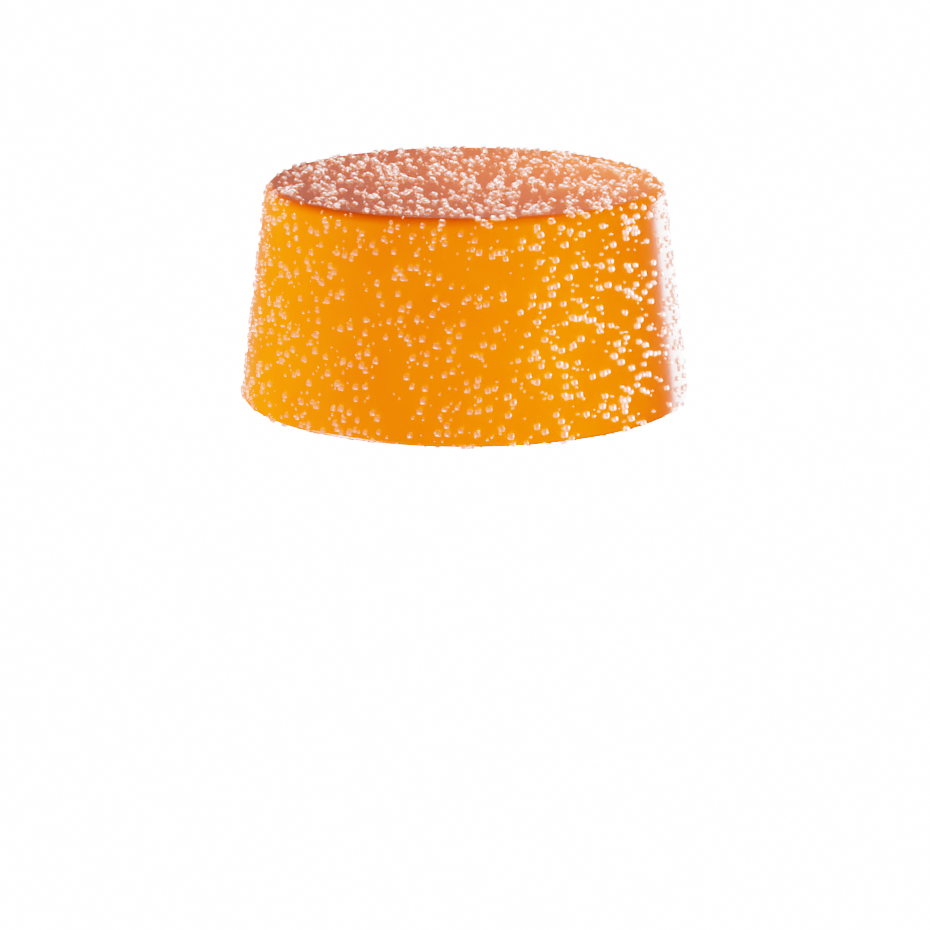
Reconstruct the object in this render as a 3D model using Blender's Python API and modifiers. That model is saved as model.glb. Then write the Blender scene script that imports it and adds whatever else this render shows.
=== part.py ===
"""A sugared gummy: a round fruit jelly that narrows upwards, with coarse sugar grains stuck all over it.

Metres, +Z up. The origin is at the middle of the foot, at the height of the table. The grains under
the foot stand on the table, and hold the jelly just clear of it.
"""

import bisect
import math
import random

import bpy
from mathutils import Matrix, Vector

# Jelly body: a turned shape with straight sloping sides, a rounded top rim and a crisper foot rim
FOOT_DIAMETER = 0.0221
TOP_DIAMETER = 0.01945
JELLY_HEIGHT = 0.01065
TOP_RIM_RADIUS = 0.0005
FOOT_RIM_RADIUS = 0.0002
TURNED_STEPS = 72
RIM_STEPS = 4
MERGE_DISTANCE = 0.00001

# Sugar: blocky grains with a smaller outer face, sunk for about half their depth
GRAIN_COUNT = 580
GRAIN_SIZE = 0.00036
GRAIN_DEPTH = 0.00034
GRAIN_OUTER_SHARE = 0.6
GRAIN_PROUD = 0.00017
GRAIN_SIZE_SPREAD = 0.14
GRAIN_TURN = math.radians(24)
GRAIN_TILT = math.radians(9)
GRAIN_SHIFT = 0.00025
FOOT_GRAIN_SLOPE = math.radians(-75)
SEED = 7

# The skin is measured in short steps, to spread the grains evenly over its area
SKIN_STEP = 0.00005
SKIN_RIM_STEPS = 40
GOLDEN_ANGLE = math.pi * (3 - math.sqrt(5))

# Finish
JELLY_COLOUR = (0.87, 0.25, 0.004, 1.0)
JELLY_ROUGHNESS = 0.35

FOOT_RADIUS = FOOT_DIAMETER / 2
TOP_RADIUS = TOP_DIAMETER / 2
JELLY_FOOT = GRAIN_PROUD
SIDE_SLOPE = math.atan2(FOOT_RADIUS - TOP_RADIUS, JELLY_HEIGHT)


def clear_scene():
    """Remove whatever the file opened with."""
    for obj in list(bpy.data.objects):
        bpy.data.objects.remove(obj)


def side_radius(height):
    """The radius of the straight side, at a height above the jelly's own foot."""
    return FOOT_RADIUS - (FOOT_RADIUS - TOP_RADIUS) * height / JELLY_HEIGHT


def rim_centre(rim_radius, height):
    """The middle of a rim's rounding, which touches the side at this height."""
    return side_radius(height) - rim_radius / math.cos(SIDE_SLOPE)


def skin_profile(rim_steps):
    """The outline from the middle of the top, down the side, to the middle of the foot.

    Each point is (radius, height, slope), where the slope is the angle of the skin's outward
    direction above the horizontal.
    """
    top_height = JELLY_HEIGHT - TOP_RIM_RADIUS
    top_centre = rim_centre(TOP_RIM_RADIUS, top_height)
    foot_centre = rim_centre(FOOT_RIM_RADIUS, FOOT_RIM_RADIUS)
    upright = math.pi / 2

    points = [(0.0, JELLY_HEIGHT, upright)]
    for step in range(rim_steps + 1):
        slope = upright + (SIDE_SLOPE - upright) * step / rim_steps
        points.append(
            (
                top_centre + TOP_RIM_RADIUS * math.cos(slope),
                top_height + TOP_RIM_RADIUS * math.sin(slope),
                slope,
            )
        )
    for step in range(rim_steps + 1):
        slope = SIDE_SLOPE + (-upright - SIDE_SLOPE) * step / rim_steps
        points.append(
            (
                foot_centre + FOOT_RIM_RADIUS * math.cos(slope),
                FOOT_RIM_RADIUS + FOOT_RIM_RADIUS * math.sin(slope),
                slope,
            )
        )
    points.append((0.0, 0.0, -upright))
    return [(radius, height + JELLY_FOOT, slope) for radius, height, slope in points]


def make_material():
    """Orange fruit jelly."""
    material = bpy.data.materials.new("orange_jelly")
    material.use_nodes = True
    shader = material.node_tree.nodes["Principled BSDF"]
    shader.inputs["Base Color"].default_value = JELLY_COLOUR
    shader.inputs["Roughness"].default_value = JELLY_ROUGHNESS
    shader.inputs["Metallic"].default_value = 0.0
    return material


def make_jelly(collection):
    """The turned body: the profile, spun round +Z."""
    profile = skin_profile(RIM_STEPS)
    mesh = bpy.data.meshes.new("gummy")
    points = [(radius, 0.0, height) for radius, height, _ in profile]
    edges = [(index, index + 1) for index in range(len(points) - 1)]
    mesh.from_pydata(points, edges, [])
    jelly = bpy.data.objects.new("gummy", mesh)
    collection.objects.link(jelly)

    screw = jelly.modifiers.new("Turn", "SCREW")
    screw.steps = TURNED_STEPS
    screw.render_steps = TURNED_STEPS
    screw.use_merge_vertices = True
    screw.merge_threshold = MERGE_DISTANCE
    return jelly


def make_grain_mesh():
    """One grain, its outer face up and its origin in the plane of the jelly's skin."""
    bpy.ops.mesh.primitive_cube_add(size=1)
    block = bpy.context.object
    mesh = block.data
    for vertex in mesh.vertices:
        outer = vertex.co.z > 0
        width = GRAIN_SIZE * (GRAIN_OUTER_SHARE if outer else 1.0)
        height = GRAIN_PROUD if outer else GRAIN_PROUD - GRAIN_DEPTH
        vertex.co = Vector((vertex.co.x * width, vertex.co.y * width, height))
    bpy.data.objects.remove(block)
    mesh.name = "sugar_grain"
    return mesh


def in_short_steps(profile):
    """The same outline with points no further apart than SKIN_STEP."""
    fine = [profile[0]]
    for before, after in zip(profile, profile[1:]):
        length = math.hypot(after[0] - before[0], after[1] - before[1])
        count = max(1, math.ceil(length / SKIN_STEP))
        for step in range(1, count + 1):
            fine.append(between(before, after, step / count))
    return fine


def between(before, after, part):
    """The point of the profile this part of the way from one point to the next."""
    return tuple(a + (b - a) * part for a, b in zip(before, after))


def skin_areas(profile):
    """The skin's area from the middle of the top down to each point of the profile."""
    areas = [0.0]
    for (radius, height, _), (next_radius, next_height, _) in zip(profile, profile[1:]):
        slant = math.hypot(next_radius - radius, next_height - height)
        areas.append(areas[-1] + math.pi * (radius + next_radius) * slant)
    return areas


def spot_on_skin(profile, areas, share):
    """The (radius, height, slope) that has this share of the skin's area above it."""
    area = share * areas[-1]
    index = min(max(bisect.bisect(areas, area), 1), len(areas) - 1)
    part = (area - areas[index - 1]) / (areas[index] - areas[index - 1])
    return between(profile[index - 1], profile[index], part)


def grain_frame(angle, radius, height, slope):
    """A frame on the skin: +Z out of the jelly, +X round it and +Y up it."""
    outward = Vector(
        (
            math.cos(slope) * math.cos(angle),
            math.cos(slope) * math.sin(angle),
            math.sin(slope),
        )
    )
    around = Vector((-math.sin(angle), math.cos(angle), 0.0))
    upward = outward.cross(around)
    place = Vector((radius * math.cos(angle), radius * math.sin(angle), height))
    frame = Matrix((around, upward, outward)).transposed().to_4x4()
    return Matrix.Translation(place) @ frame


def lift_onto_table(matrix, mesh):
    """Raise a grain that would reach below the table."""
    lowest = min((matrix @ vertex.co).z for vertex in mesh.vertices)
    return Matrix.Translation((0.0, 0.0, max(0.0, -lowest))) @ matrix


def add_grain(collection, mesh, matrix):
    """One copy of the grain."""
    grain = bpy.data.objects.new("grain", mesh)
    grain.matrix_world = matrix
    collection.objects.link(grain)


def scatter_grains(collection):
    """Spread the grains evenly over the skin, each a little turned, tilted and shifted."""
    draw = random.Random(SEED)
    mesh = make_grain_mesh()
    profile = in_short_steps(skin_profile(SKIN_RIM_STEPS))
    areas = skin_areas(profile)
    for index in range(GRAIN_COUNT - 1):
        share = (index + 0.5) / GRAIN_COUNT
        radius, height, slope = spot_on_skin(profile, areas, share)
        frame = grain_frame(index * GOLDEN_ANGLE, radius, height, slope)
        shift = [draw.uniform(-GRAIN_SHIFT, GRAIN_SHIFT) for _ in range(2)]
        turn = Matrix.Rotation(draw.uniform(-GRAIN_TURN, GRAIN_TURN), 4, "Z")
        tilt = Matrix.Rotation(draw.uniform(-GRAIN_TILT, GRAIN_TILT), 4, "X")
        size = 1 + draw.uniform(-GRAIN_SIZE_SPREAD, GRAIN_SIZE_SPREAD)
        width = Matrix.Diagonal((size, size, 1.0, 1.0))
        if slope < FOOT_GRAIN_SLOPE:
            # The grains that carry the gummy have their outer faces level, on the table.
            matrix = frame @ Matrix.Translation((*shift, 0.0)) @ turn @ width
            matrix.translation.z = GRAIN_PROUD
        else:
            matrix = frame @ Matrix.Translation((*shift, 0.0)) @ turn @ tilt @ width
        add_grain(collection, mesh, lift_onto_table(matrix, mesh))
    # The last one stands at the middle of the foot.
    add_grain(collection, mesh, grain_frame(0.0, 0.0, JELLY_FOOT, -math.pi / 2))


def fuse_grains(jelly, grains):
    """Join the jelly and all its grains into one solid, and remove the loose grains."""
    union = jelly.modifiers.new("Sugar", "BOOLEAN")
    union.operation = "UNION"
    union.operand_type = "COLLECTION"
    union.collection = grains
    union.solver = "EXACT"

    graph = bpy.context.evaluated_depsgraph_get()
    fused = bpy.data.meshes.new_from_object(jelly.evaluated_get(graph))
    jelly.modifiers.clear()
    jelly.data = fused
    fused.name = "gummy"
    for grain in list(grains.objects):
        bpy.data.objects.remove(grain)
    bpy.data.collections.remove(grains)


def main():
    clear_scene()
    scene = bpy.context.scene
    food = bpy.data.collections.new("sugared_gummy")
    grains = bpy.data.collections.new("sugar")
    scene.collection.children.link(food)
    scene.collection.children.link(grains)

    jelly = make_jelly(food)
    scatter_grains(grains)
    fuse_grains(jelly, grains)
    jelly.data.materials.clear()
    jelly.data.materials.append(make_material())


main()
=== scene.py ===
"""A sugared gummy: round orange fruit jelly with coarse and fine sugar grains, in a soft pale studio.

The jelly is turned and narrows upwards, with a soft top rim and a crisper foot rim. Two kinds of
sugar grain are stuck all over it, each kind joined into one mesh. All sizes are in metres, in the
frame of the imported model.
"""

import logging
import math
from collections.abc import Callable
from dataclasses import dataclass
from enum import Enum
from typing import Any

import bmesh
import bpy
import numpy as np
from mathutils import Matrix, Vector


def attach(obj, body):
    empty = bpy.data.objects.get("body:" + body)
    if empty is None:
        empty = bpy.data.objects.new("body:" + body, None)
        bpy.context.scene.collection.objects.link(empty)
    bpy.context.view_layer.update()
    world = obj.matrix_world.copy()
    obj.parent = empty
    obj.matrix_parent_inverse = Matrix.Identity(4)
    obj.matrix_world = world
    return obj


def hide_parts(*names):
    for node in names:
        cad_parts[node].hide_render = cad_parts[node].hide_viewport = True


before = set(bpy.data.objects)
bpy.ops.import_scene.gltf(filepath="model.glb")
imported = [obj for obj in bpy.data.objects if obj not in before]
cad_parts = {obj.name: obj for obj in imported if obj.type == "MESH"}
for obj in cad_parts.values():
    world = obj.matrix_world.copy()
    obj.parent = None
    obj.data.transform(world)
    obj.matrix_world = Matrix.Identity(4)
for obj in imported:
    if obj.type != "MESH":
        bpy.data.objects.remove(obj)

log = logging.getLogger("sugared_gummy")

MILLIMETRE = 0.001
CAD_NODE = "gummy"
ROOT_BODY = "root"

# A bevel with this profile is an arc of a circle
ROUND_BEVEL = 0.5

# A noise texture's values lie about this one
NOISE_MIDDLE = 0.5


class Part(Enum):
    """What can be selected in an edit mesh."""

    VERTEX = "VERT"
    EDGE = "EDGE"
    FACE = "FACE"


class Workbench:
    """Edit-mode work on one new object, by bpy.ops."""

    def __init__(self, name: str, primitive: Callable[..., Any], **sizes: Any) -> None:
        """Add a primitive and open it in edit mode.

        Args:
            name: The name of the object and its mesh.
            primitive: One of bpy.ops.mesh's primitive operators.
            **sizes: The primitive's own sizes.
        """
        if bpy.context.object and bpy.context.object.mode != "OBJECT":
            bpy.ops.object.mode_set(mode="OBJECT")
        bpy.ops.object.select_all(action="DESELECT")
        primitive(**sizes)
        self.piece: bpy.types.Object = bpy.context.object
        self.piece.name = name
        self.piece.data.name = name
        bpy.ops.object.mode_set(mode="EDIT")

    def choose(self, kind: Part, wanted: Callable[[Any], bool]) -> None:
        """Select vertices, edges or faces by their place, and no others.

        Args:
            kind: Which of the three.
            wanted: Says whether one of them is wanted.
        """
        bpy.ops.mesh.select_all(action="DESELECT")
        bpy.ops.mesh.select_mode(type=kind.value)
        shape = bmesh.from_edit_mesh(self.piece.data)
        parts = {Part.VERTEX: shape.verts, Part.EDGE: shape.edges, Part.FACE: shape.faces}[kind]
        for part in parts:
            part.select_set(wanted(part))
        shape.select_flush_mode()
        bmesh.update_edit_mesh(self.piece.data)

    def close(self) -> bpy.types.Object:
        """Leave edit mode, shade smooth, and return the object."""
        bpy.ops.mesh.select_all(action="SELECT")
        bpy.ops.mesh.normals_make_consistent(inside=False)
        bpy.ops.object.mode_set(mode="OBJECT")
        bpy.ops.object.shade_smooth()
        return self.piece


class Shade:
    """A socket of a shader tree that can be used in Python expressions."""

    def __init__(self, board: "ShaderBoard", socket: bpy.types.NodeSocket) -> None:
        """Wrap a node's output."""
        self.board = board
        self.socket = socket

    def _maths(self, operation: str, first: Any, second: Any) -> "Shade":
        """Add one Math node."""
        return self.board.node("ShaderNodeMath", {"operation": operation}, {0: first, 1: second})

    def __add__(self, other: Any) -> "Shade":
        """Sum."""
        return self._maths("ADD", self, other)

    def __radd__(self, other: Any) -> "Shade":
        """Sum, the other way round."""
        return self._maths("ADD", other, self)

    def __sub__(self, other: Any) -> "Shade":
        """Difference."""
        return self._maths("SUBTRACT", self, other)

    def __rsub__(self, other: Any) -> "Shade":
        """Difference, the other way round."""
        return self._maths("SUBTRACT", other, self)

    def __mul__(self, other: Any) -> "Shade":
        """Product."""
        return self._maths("MULTIPLY", self, other)

    def __rmul__(self, other: Any) -> "Shade":
        """Product, the other way round."""
        return self._maths("MULTIPLY", other, self)


class ShaderBoard:
    """The node tree of one material or of the world."""

    def __init__(self, tree: bpy.types.NodeTree) -> None:
        """Start on an empty tree."""
        self.tree = tree
        tree.nodes.clear()

    def node(
        self,
        kind: str,
        settings: dict[str, Any] | None = None,
        inputs: dict[int | str, Any] | None = None,
        output: int | str = 0,
    ) -> Shade:
        """Add a node, set it up and feed its sockets.

        Args:
            kind: The node's type name.
            settings: The node's own properties, set first.
            inputs: Values or Shades for its sockets, by name or number.
            output: The output socket that is wanted.

        Returns:
            That output, for use in further expressions.
        """
        made = self.tree.nodes.new(kind)
        for key, value in (settings or {}).items():
            setattr(made, key, value)
        for key, value in (inputs or {}).items():
            if isinstance(value, Shade):
                self.tree.links.new(value.socket, made.inputs[key])
            else:
                made.inputs[key].default_value = value
        return Shade(self, made.outputs[output])

    def ramp(self, value: Shade, low: float, high: float) -> Shade:
        """Map a value smoothly to the range from 0 to 1.

        Args:
            value: The value to map.
            low: Where the result is still 0.
            high: Where it reaches 1.

        Returns:
            The mapped value.
        """
        return self.node(
            "ShaderNodeMapRange",
            {"interpolation_type": "SMOOTHSTEP"},
            {"Value": value, "From Min": low, "From Max": high},
        )

    def blend(self, factor: Shade, first: Any, second: Any) -> Shade:
        """Mix two colours.

        Args:
            factor: 0 for the first colour, 1 for the second.
            first: A colour or a Shade.
            second: A colour or a Shade.

        Returns:
            The mixed colour.
        """
        made = self.tree.nodes.new("ShaderNodeMix")
        made.data_type = "RGBA"
        self.tree.links.new(factor.socket, made.inputs["Factor"])
        for socket, value in ((made.inputs[6], first), (made.inputs[7], second)):
            if isinstance(value, Shade):
                self.tree.links.new(value.socket, socket)
            else:
                socket.default_value = value
        return Shade(self, made.outputs[2])

    def speckle(self, size: float, detail: float = 2.0, roughness: float = 0.5) -> Shade:
        """A noise in the piece's own coordinates.

        Args:
            size: The width of one patch, in metres.
            detail: How many finer layers it has.
            roughness: How strong the finer layers are.

        Returns:
            A value about 0.5.
        """
        place = self.node("ShaderNodeTexCoord", output="Object")
        return self.node(
            "ShaderNodeTexNoise",
            inputs={"Vector": place, "Scale": 1 / size, "Detail": detail, "Roughness": roughness},
        )

    def surface(self, shader: Shade, kind: str = "ShaderNodeOutputMaterial") -> None:
        """Plug a shader into a new output node.

        Args:
            shader: The finished shader.
            kind: The output node's type name.
        """
        made = self.tree.nodes.new(kind)
        self.tree.links.new(shader.socket, made.inputs["Surface"])


def new_board(name: str) -> tuple[bpy.types.Material, ShaderBoard]:
    """Make an empty material.

    Args:
        name: The material's name.

    Returns:
        The material and the board for its nodes.
    """
    material = bpy.data.materials.new(name)
    material.use_nodes = True
    return material, ShaderBoard(material.node_tree)


@dataclass(frozen=True)
class JellyFinish:
    """Clear orange jelly with a satin skin."""

    deep_colour: tuple[float, float, float, float] = (0.88, 0.068, 0.0, 1.0)
    pale_colour: tuple[float, float, float, float] = (0.90, 0.074, 0.0, 1.0)
    cloud_size: float = 2.4 * MILLIMETRE
    cloud_low: float = 0.35
    cloud_high: float = 0.65
    roughness: float = 0.19
    roughness_spread: float = 0.05
    smear_size: float = 0.7 * MILLIMETRE
    ripple_size: float = 0.5 * MILLIMETRE
    ripple_depth: float = 0.002 * MILLIMETRE
    refraction: float = 1.45

    def material(self) -> bpy.types.Material:
        """Build the material's nodes."""
        material, board = new_board("orange_jelly")
        cloud = board.ramp(board.speckle(self.cloud_size), self.cloud_low, self.cloud_high)
        smear = board.speckle(self.smear_size, detail=3.0) - NOISE_MIDDLE
        ripple = board.speckle(self.ripple_size)
        bump = board.node("ShaderNodeBump", inputs={"Height": ripple, "Distance": self.ripple_depth})
        shader = board.node(
            "ShaderNodeBsdfPrincipled",
            inputs={
                "Base Color": board.blend(cloud, self.deep_colour, self.pale_colour),
                "Roughness": self.roughness + smear * self.roughness_spread,
                "IOR": self.refraction,
                "Normal": bump,
            },
        )
        board.surface(shader)
        return material


@dataclass(frozen=True)
class SugarFinish:
    """Clear sugar crystal with slightly worn faces."""

    name: str
    colour: tuple[float, float, float, float] = (0.75, 0.96, 0.94, 1.0)
    dusty_colour: tuple[float, float, float, float] = (0.79, 0.98, 0.96, 1.0)
    clearness: float = 0.85
    roughness: float = 0.25
    roughness_spread: float = 0.1
    grain_patch: float = 0.4 * MILLIMETRE
    refraction: float = 1.6
    glint: float = 0.9

    def material(self) -> bpy.types.Material:
        """Build the material's nodes."""
        material, board = new_board(self.name)
        patch = board.speckle(self.grain_patch, detail=1.0)
        shader = board.node(
            "ShaderNodeBsdfPrincipled",
            inputs={
                "Base Color": board.blend(patch, self.colour, self.dusty_colour),
                "Roughness": self.roughness + (patch - NOISE_MIDDLE) * self.roughness_spread,
                "IOR": self.refraction,
                "Specular IOR Level": self.glint,
                "Transmission Weight": self.clearness,
            },
        )
        board.surface(shader)
        return material


@dataclass(frozen=True)
class FloorFinish:
    """Pale floor of a shooting table that is lit from below."""

    colour: tuple[float, float, float, float] = (0.9, 0.9, 0.9, 1.0)
    glow_colour: tuple[float, float, float, float] = (1.0, 1.0, 1.0, 1.0)
    glow: float = 14.0
    roughness: float = 0.8
    worn_size: float = 20.0 * MILLIMETRE
    worn_share: float = 0.01

    def material(self) -> bpy.types.Material:
        """Build the material's nodes."""
        material, board = new_board("pale_floor")
        wear = 1.0 - board.speckle(self.worn_size) * self.worn_share
        shader = board.node(
            "ShaderNodeBsdfPrincipled",
            inputs={
                "Base Color": self.colour,
                "Roughness": wear * self.roughness,
                "Specular IOR Level": 0.0,
                "Emission Color": self.glow_colour,
                "Emission Strength": self.glow,
            },
        )
        board.surface(shader)
        # The glow only shows the floor white, and lights nothing.
        material.cycles.emission_sampling = "NONE"
        return material


@dataclass
class JellyBody:
    """The jelly: a turned body with straight sloping sides, flat ends and rounded rims.

    A corner nearer to a level than the near size counts as on that level.
    """

    foot_diameter: float = 22.1 * MILLIMETRE
    top_diameter: float = 19.45 * MILLIMETRE
    height: float = 10.65 * MILLIMETRE
    top_rim: float = 0.5 * MILLIMETRE
    foot_rim: float = 0.2 * MILLIMETRE
    off_table: float = 0.17 * MILLIMETRE
    sides: int = 240
    rim_steps: int = 10
    side_rings: int = 11
    edge_ring: float = 0.05 * MILLIMETRE
    cap_rings: int = 7
    near: float = 0.1 * MILLIMETRE

    @property
    def slope(self) -> float:
        """The angle of the side's outward direction above the horizontal."""
        return math.atan2((self.foot_diameter - self.top_diameter) / 2, self.height)

    def rim_setback(self, radius: float, upper: bool) -> float:
        """How far from the corner a rim's rounding meets the flat and the side.

        Args:
            radius: The rounding's radius.
            upper: True for the top rim, False for the foot's.

        Returns:
            The distance along either face.
        """
        corner = math.pi / 2 + (self.slope if upper else -self.slope)
        return radius / math.tan(corner / 2)

    def outline(self, steps: int) -> np.ndarray:
        """The skin's outline from the middle of the top to the middle of the foot.

        Args:
            steps: Points on each rim's rounding.

        Returns:
            Rows of radius, height and slope angle of the skin's outward direction.
        """
        foot, top = self.foot_diameter / 2, self.top_diameter / 2
        upright = math.pi / 2
        rows: list[tuple[float, float, float]] = [(0.0, self.height, upright)]
        for radius, upper in ((self.top_rim, True), (self.foot_rim, False)):
            setback = self.rim_setback(radius, upper)
            middle = (top if upper else foot) - setback
            level = self.height - radius if upper else radius
            first, last = (upright, self.slope) if upper else (self.slope, -upright)
            for angle in np.linspace(first, last, steps):
                rows.append((middle + radius * math.cos(angle), level + radius * math.sin(angle), angle))
        rows.append((0.0, 0.0, -upright))
        table = np.array(rows)
        table[:, 1] += self.off_table
        return table

    def build(self) -> bpy.types.Object:
        """Model the jelly from a truncated cone.

        Returns:
            The jelly's object.
        """
        bench = Workbench(
            "jelly",
            bpy.ops.mesh.primitive_cone_add,
            vertices=self.sides,
            radius1=self.foot_diameter / 2,
            radius2=self.top_diameter / 2,
            depth=self.height,
            location=(0.0, 0.0, self.off_table + self.height / 2),
        )
        foot_level = -self.height / 2
        top_level = self.height / 2
        bench.choose(Part.EDGE, lambda edge: abs(edge.verts[0].co.z - edge.verts[1].co.z) > self.near)
        bpy.ops.mesh.subdivide(number_cuts=self.side_rings)
        for level, radius, upper in ((top_level, self.top_rim, True), (foot_level, self.foot_rim, False)):
            bench.choose(Part.EDGE, lambda edge: all(abs(v.co.z - level) < self.near for v in edge.verts))
            bpy.ops.mesh.bevel(
                offset_type="OFFSET",
                offset=self.rim_setback(radius, upper),
                segments=self.rim_steps,
                profile=ROUND_BEVEL,
            )
        # Each end is one face with as many corners as the body has sides.
        reach = self.top_diameter / 2 - self.top_rim
        ring = (reach - self.edge_ring) / (self.cap_rings + 1)
        for level in (top_level, foot_level):
            bench.choose(
                Part.FACE,
                lambda face: len(face.verts) == self.sides and abs(face.verts[0].co.z - level) < self.near,
            )
            bpy.ops.mesh.inset(thickness=self.edge_ring)
            for _ in range(self.cap_rings):
                bpy.ops.mesh.inset(thickness=ring)
            bpy.ops.mesh.poke()
        piece = bench.close()
        bpy.ops.object.transform_apply(location=True, rotation=True, scale=True)
        return piece


class GrainKind(Enum):
    """The two kinds of sugar on the gummy."""

    COARSE = "coarse"
    FINE = "fine"


# Places tried for each grain, of which those too close to another are dropped
TRIES_PER_GRAIN = 2

# A band of skin whose ends differ less than this in radius counts as upright
UPRIGHT_BAND = 1e-9


@dataclass(frozen=True)
class GrainForm:
    """The shape of a kind of grain, before each is turned and sized.

    The bevels of its upright edges (corner) and of its outer face (worn) are shares of the block's
    width, and the spreads say how much one shape differs from the next.
    """

    width: float
    proud: float
    sunk: float
    outer_share: float
    corner: float
    worn: float
    steps: int
    shapes: int
    taper_spread: float = 0.15
    lean_spread: float = 0.07
    narrowest: float = 0.92
    widest: float = 1.1


@dataclass
class SugarCoat:
    """All the grains of one kind, scattered over the jelly's skin and joined into one mesh."""

    kind: GrainKind
    form: GrainForm
    count: int
    spacing: float
    size_spread: float
    depth_spread: float
    turn: float
    tilt: float
    seed: int
    finish: SugarFinish

    def model_shape(self, draw: np.random.Generator) -> tuple[np.ndarray, list[tuple[int, ...]]]:
        """Model one grain, outward along +Z, with its origin in the plane of the skin.

        Args:
            draw: The source of its small differences.

        Returns:
            Its points and its faces.
        """
        form = self.form
        bench = Workbench("grain", bpy.ops.mesh.primitive_cube_add, size=1.0)
        bench.choose(Part.EDGE, lambda edge: abs(edge.verts[0].co.z - edge.verts[1].co.z) > form.corner)
        bpy.ops.mesh.bevel(offset=form.corner, segments=1)
        bench.choose(Part.EDGE, lambda edge: all(vert.co.z > form.corner for vert in edge.verts))
        bpy.ops.mesh.bevel(offset=form.worn, segments=form.steps)
        bench.choose(Part.VERTEX, lambda vert: vert.co.z > 0.0)
        taper = form.outer_share * draw.uniform(1 - form.taper_spread, 1 + form.taper_spread)
        bpy.ops.transform.resize(value=(taper, taper, 1.0), center_override=(0.0, 0.0, 0.0))
        bpy.ops.transform.translate(value=(*draw.uniform(-form.lean_spread, form.lean_spread, 2), 0.0))
        piece = bench.close()
        points = np.array([vert.co[:] for vert in piece.data.vertices])
        faces = [tuple(face.vertices) for face in piece.data.polygons]
        bpy.data.objects.remove(piece)

        reach = np.abs(points).max(axis=0)
        points[:, :2] *= form.width / (2 * reach[:2])
        points[:, 0] *= draw.uniform(form.narrowest, form.widest)
        outward = points[:, 2] > 0
        points[outward, 2] *= form.proud / reach[2]
        points[~outward, 2] *= form.sunk / reach[2]
        return points, faces

    def places(self, outline: np.ndarray, draw: np.random.Generator) -> tuple[np.ndarray, np.ndarray]:
        """Choose places all over the skin, with the same chance for each bit of area.

        Args:
            outline: The skin's outline, as JellyBody.outline gives it.
            draw: The source of the random places.

        Returns:
            Rows of radius, height and slope, and the angles round the jelly.
        """
        tries = TRIES_PER_GRAIN * self.count
        steps = np.diff(outline[:, :2], axis=0)
        slants = np.hypot(steps[:, 0], steps[:, 1])
        areas = slants * (outline[:-1, 0] + outline[1:, 0])
        bands = draw.choice(len(areas), size=tries, p=areas / areas.sum())
        inner, outer = outline[bands, 0], outline[bands + 1, 0]
        aim = np.sqrt(inner**2 + draw.random(tries) * (outer**2 - inner**2))
        # A band that is as wide above as below has no room to aim in, and is hit half way.
        width = outer - inner
        upright = np.abs(width) < UPRIGHT_BAND
        part = np.where(upright, 0.5, (aim - inner) / np.where(upright, 1.0, width))
        rows = outline[bands] + (outline[bands + 1] - outline[bands]) * part[:, None]
        angles = draw.random(tries) * 2 * math.pi
        kept = self.apart(rows, angles)
        return rows[kept], angles[kept]

    def apart(self, rows: np.ndarray, angles: np.ndarray) -> list[int]:
        """Pick places that aren't too close to one another.

        Args:
            rows: Rows of radius, height and slope.
            angles: The angles round the jelly.

        Returns:
            The numbers of the places that are kept, as many as there are grains.
        """
        spots = np.column_stack((rows[:, 0] * np.cos(angles), rows[:, 0] * np.sin(angles), rows[:, 1]))
        kept = [0]
        for number, spot in enumerate(spots):
            if np.linalg.norm(spots[kept] - spot, axis=1).min() > self.spacing:
                kept.append(number)
        return kept[: self.count]

    def axes(self, slope: float, angle: float, draw: np.random.Generator) -> np.ndarray:
        """Stand one grain on the skin, a little turned and tilted.

        Args:
            slope: The angle of the skin's outward direction above the horizontal.
            angle: Where the grain is round the jelly.
            draw: The source of its turn and tilt.

        Returns:
            The grain's own X, Y and Z directions, in rows.
        """
        outward = np.array(
            (math.cos(slope) * math.cos(angle), math.cos(slope) * math.sin(angle), math.sin(slope))
        )
        around = np.array((-math.sin(angle), math.cos(angle), 0.0))
        upward = np.cross(outward, around)
        turn = draw.uniform(-self.turn, self.turn)
        across = around * math.cos(turn) + upward * math.sin(turn)
        tilt = draw.uniform(-self.tilt, self.tilt)
        outward = outward * math.cos(tilt) + across * math.sin(tilt)
        across = np.cross(np.cross(outward, across), outward)
        return np.array((across, np.cross(outward, across), outward))

    def build(self, outline: np.ndarray) -> bpy.types.Object:
        """Join every grain of this kind into one mesh.

        Args:
            outline: The skin's outline, as JellyBody.outline gives it.

        Returns:
            The object that holds the grains.
        """
        draw = np.random.default_rng(self.seed)
        shapes = [self.model_shape(draw) for _ in range(self.form.shapes)]
        rows, angles = self.places(outline, draw)
        points: list[np.ndarray] = []
        faces: list[tuple[int, ...]] = []
        total = 0
        for (radius, height, slope), angle in zip(rows, angles):
            shape, shape_faces = shapes[draw.integers(len(shapes))]
            axes = self.axes(slope, angle, draw)
            size = 1 + draw.uniform(-self.size_spread, self.size_spread)
            depth = draw.uniform(0.0, self.depth_spread) * self.form.proud
            grain = (shape * size - (0.0, 0.0, depth)) @ axes
            grain += (radius * math.cos(angle), radius * math.sin(angle), height)
            # No grain reaches below the table.
            grain[:, 2] += max(0.0, -grain[:, 2].min())
            points.append(grain)
            faces.extend(tuple(total + corner for corner in face) for face in shape_faces)
            total += len(grain)
        mesh = bpy.data.meshes.new(f"{self.kind.value}_sugar")
        mesh.from_pydata(np.concatenate(points).tolist(), [], faces)
        mesh.shade_smooth()
        mesh.update()
        piece = bpy.data.objects.new(mesh.name, mesh)
        # Clear grains throw no dark shadows on the jelly.
        piece.visible_shadow = False
        bpy.context.scene.collection.objects.link(piece)
        return piece


class Lit(Enum):
    """What a studio light falls on: what makes the sugar white enough would veil the jelly."""

    JELLY = "lit_jelly"
    SUGAR = "lit_sugar"


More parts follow.
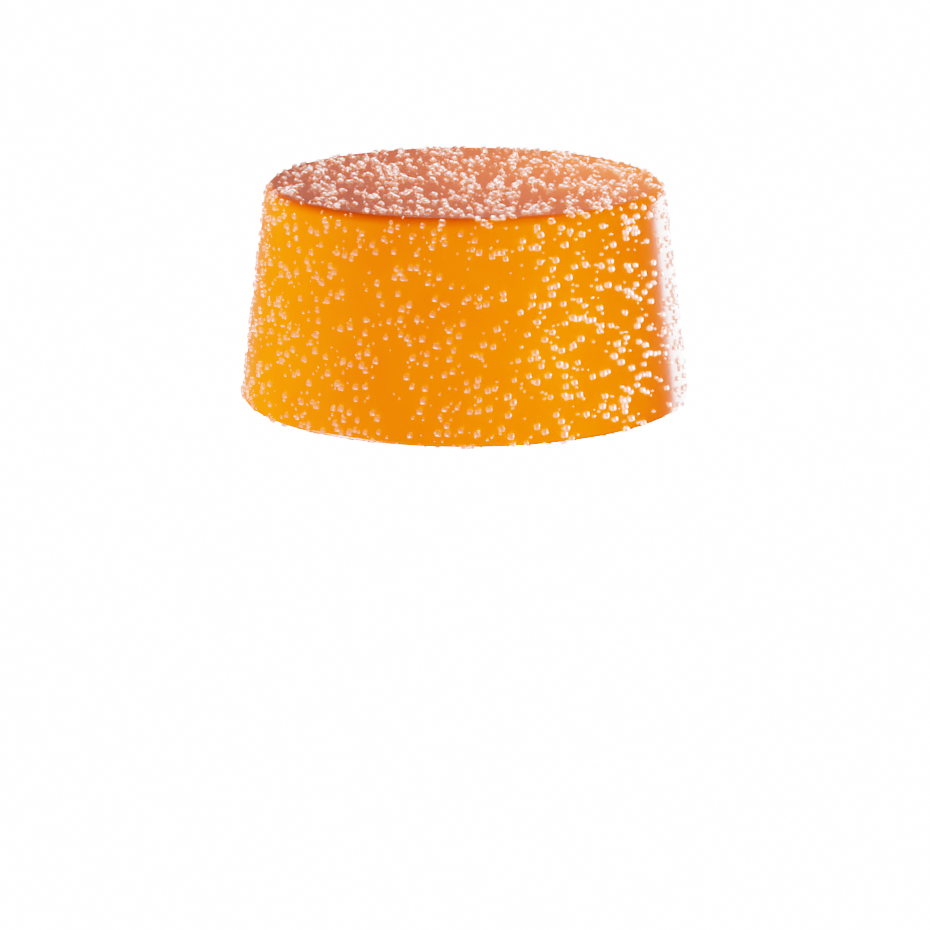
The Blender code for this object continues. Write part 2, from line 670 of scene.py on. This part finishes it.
@dataclass(frozen=True)
class SoftBox:
    """One soft studio light, aimed at the middle of the gummy.

    Azimuth 0 is on the camera's side and 90 on its right. The angles are in degrees.
    """

    name: str
    lit: Lit
    azimuth: float
    elevation: float
    width: float
    tall: float
    brightness: float
    distance: float = 0.3
    in_gloss: bool = True
    in_diffuse: bool = True

    def build(self, aim: Vector, pieces: bpy.types.Collection) -> None:
        """Set the light up, with the power that lights a white card at the gummy as brightly as asked.

        Args:
            aim: The point it looks at.
            pieces: What it falls on.
        """
        turn, rise = math.radians(self.azimuth), math.radians(self.elevation)
        away = Vector((math.sin(turn) * math.cos(rise), -math.cos(turn) * math.cos(rise), math.sin(rise)))
        lamp = bpy.data.lights.new(self.name, "AREA")
        lamp.shape = "RECTANGLE"
        lamp.size, lamp.size_y = self.width, self.tall
        lamp.energy = self.brightness * math.pi**2 * self.distance**2
        # A light that gloss mustn't show is sampled directly alone.
        lamp.cycles.use_multiple_importance_sampling = self.in_gloss
        light = bpy.data.objects.new(self.name, lamp)
        light.location = aim + away * self.distance
        light.rotation_euler = away.to_track_quat("Z", "Y").to_euler()
        light.visible_camera = False
        light.visible_glossy = self.in_gloss
        light.visible_diffuse = self.in_diffuse
        light.light_linking.receiver_collection = pieces
        bpy.context.scene.collection.objects.link(light)


@dataclass
class Studio:
    """Camera, pale surroundings and a pale floor that curves up into a wall."""

    camera_back: float = 188.94 * MILLIMETRE
    camera_height: float = 46.60 * MILLIMETRE
    camera_pitch: float = 14.87
    lens: float = 151.65
    sensor: float = 36.0
    clip_share: float = 100.0
    floor_radius: float = 0.5
    wall_height: float = 0.6
    corner_radius: float = 0.2
    corner_steps: int = 12
    floor_sides: int = 96
    back_grey: tuple[float, float, float, float] = (0.31, 0.28, 0.255, 1.0)
    front_grey: tuple[float, float, float, float] = (0.02, 0.02, 0.02, 1.0)
    back_start: float = 0.7
    back_full: float = 0.95

    def build_camera(self) -> None:
        """Set up the camera at the photograph's viewing angle."""
        data = bpy.data.cameras.new("camera")
        data.lens = self.lens
        data.sensor_width = self.sensor
        data.clip_start = self.camera_back / self.clip_share
        data.clip_end = self.camera_back * self.clip_share
        camera = bpy.data.objects.new("camera", data)
        camera.location = (0.0, -self.camera_back, self.camera_height)
        camera.rotation_euler = (math.radians(90 - self.camera_pitch), 0.0, 0.0)
        bpy.context.scene.collection.objects.link(camera)
        bpy.context.scene.camera = camera

    def build_floor(self, finish: FloorFinish) -> None:
        """Model the floor: a disc whose edge rises into a wall all round.

        Args:
            finish: What it wears.
        """
        bench = Workbench(
            "floor",
            bpy.ops.mesh.primitive_circle_add,
            vertices=self.floor_sides,
            radius=self.floor_radius,
            fill_type="NGON",
        )
        bench.choose(Part.EDGE, lambda edge: True)
        bpy.ops.mesh.extrude_edges_move(TRANSFORM_OT_translate={"value": (0.0, 0.0, self.wall_height)})
        bench.choose(Part.EDGE, lambda edge: all(abs(v.co.z) < MILLIMETRE for v in edge.verts))
        bpy.ops.mesh.bevel(offset=self.corner_radius, segments=self.corner_steps, profile=ROUND_BEVEL)
        floor = bench.close()
        floor.data.materials.append(finish.material())
        floor.visible_diffuse = False
        floor.visible_glossy = False
        floor.visible_transmission = False
        floor.visible_shadow = False

    def build_world(self) -> None:
        """Surround the gummy with soft grey, paler at the back."""
        world = bpy.data.worlds.new("soft_studio")
        world.use_nodes = True
        board = ShaderBoard(world.node_tree)
        direction = board.node("ShaderNodeTexCoord", output="Generated")
        depth = board.node("ShaderNodeSeparateXYZ", inputs={0: direction}, output="Y")
        back = board.ramp(depth, self.back_start, self.back_full)
        tone = board.blend(back, self.front_grey, self.back_grey)
        board.surface(board.node("ShaderNodeBackground", inputs={"Color": tone}), "ShaderNodeOutputWorld")
        bpy.context.scene.world = world

    def set_tone(self) -> None:
        """Use the film-like tone curve that keeps saturated orange from clipping."""
        view = bpy.context.scene.view_settings
        view.view_transform = "Filmic"
        view.look = "Medium High Contrast"
        view.exposure = 0.0
        view.gamma = 1.0


LIGHTS = (
    SoftBox(
        "low_left_light",
        Lit.JELLY,
        azimuth=-75.0,
        elevation=-42.0,
        width=0.13,
        tall=0.13,
        brightness=2.6,
    ),
    SoftBox(
        "left_side_light",
        Lit.JELLY,
        azimuth=-113.0,
        elevation=-3.0,
        width=0.20,
        tall=0.08,
        brightness=4.2,
        in_gloss=False,
    ),
    SoftBox(
        "left_front_light",
        Lit.JELLY,
        azimuth=-28.0,
        elevation=0.0,
        width=0.20,
        tall=0.08,
        brightness=1.4,
        in_gloss=False,
    ),
    SoftBox(
        "right_front_light",
        Lit.JELLY,
        azimuth=52.0,
        elevation=0.0,
        width=0.20,
        tall=0.08,
        brightness=0.95,
        in_gloss=False,
    ),
    SoftBox(
        "near_front_light",
        Lit.JELLY,
        azimuth=30.0,
        elevation=0.0,
        width=0.012,
        tall=0.012,
        brightness=1.1,
        distance=0.03,
        in_gloss=False,
    ),
    SoftBox(
        "near_top_light",
        Lit.JELLY,
        azimuth=112.0,
        elevation=47.0,
        width=0.008,
        tall=0.008,
        brightness=1.9,
        distance=0.0237,
        in_gloss=False,
    ),
    SoftBox(
        "low_back_light",
        Lit.JELLY,
        azimuth=162.0,
        elevation=-13.0,
        width=0.28,
        tall=0.106,
        brightness=1.7,
        in_diffuse=False,
    ),
    SoftBox(
        "sugar_low_left_light",
        Lit.SUGAR,
        azimuth=-38.0,
        elevation=-52.0,
        width=0.09,
        tall=0.09,
        brightness=2.9,
    ),
    SoftBox(
        "sugar_back_light",
        Lit.SUGAR,
        azimuth=-176.0,
        elevation=50.0,
        width=0.16,
        tall=0.16,
        brightness=5.5,
    ),
    SoftBox(
        "sugar_right_light",
        Lit.SUGAR,
        azimuth=112.0,
        elevation=-6.0,
        width=0.20,
        tall=0.16,
        brightness=16.5,
    ),
)

COARSE_SUGAR = SugarCoat(
    kind=GrainKind.COARSE,
    form=GrainForm(
        width=0.28 * MILLIMETRE,
        proud=0.12 * MILLIMETRE,
        sunk=0.12 * MILLIMETRE,
        outer_share=0.9,
        corner=0.13,
        worn=0.26,
        steps=2,
        shapes=6,
    ),
    count=2100,
    spacing=0.24 * MILLIMETRE,
    size_spread=0.1,
    depth_spread=0.2,
    turn=math.radians(12),
    tilt=math.radians(6),
    seed=11,
    finish=SugarFinish("clear_sugar"),
)

FINE_SUGAR = SugarCoat(
    kind=GrainKind.FINE,
    form=GrainForm(
        width=0.15 * MILLIMETRE,
        proud=0.085 * MILLIMETRE,
        sunk=0.06 * MILLIMETRE,
        outer_share=0.85,
        corner=0.22,
        worn=0.27,
        steps=1,
        shapes=4,
    ),
    count=2500,
    spacing=0.2 * MILLIMETRE,
    size_spread=0.2,
    depth_spread=0.7,
    turn=math.pi,
    tilt=math.radians(10),
    seed=12,
    finish=SugarFinish("fine_clear_sugar"),
)

# Points on each rim's rounding where the grains are placed
SKIN_RIM_STEPS = 60


def put_on(piece: bpy.types.Object, material: bpy.types.Material) -> None:
    """Dress a piece and tell the frame what it rides on.

    Args:
        piece: The new piece.
        material: The finish it wears.
    """
    piece.data.materials.clear()
    piece.data.materials.append(material)
    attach(piece, ROOT_BODY)
    log.info("%s: %d faces", piece.name, len(piece.data.polygons))


def main() -> None:
    """Build the gummy and its studio."""
    logging.basicConfig(level=logging.INFO, format="%(name)s: %(message)s")
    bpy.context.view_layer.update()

    lit_pieces = {lit: bpy.data.collections.new(lit.value) for lit in Lit}
    body = JellyBody()
    jelly = body.build()
    put_on(jelly, JellyFinish().material())
    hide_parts(CAD_NODE)
    lit_pieces[Lit.JELLY].objects.link(jelly)

    outline = body.outline(SKIN_RIM_STEPS)
    for coat in (COARSE_SUGAR, FINE_SUGAR):
        piece = coat.build(outline)
        put_on(piece, coat.finish.material())
        lit_pieces[Lit.SUGAR].objects.link(piece)

    studio = Studio()
    studio.build_camera()
    studio.build_floor(FloorFinish())
    studio.build_world()
    studio.set_tone()
    aim = Vector((0.0, 0.0, body.off_table + body.height / 2))
    for light in LIGHTS:
        light.build(aim, lit_pieces[light.lit])


if __name__ == "__main__":
    main()
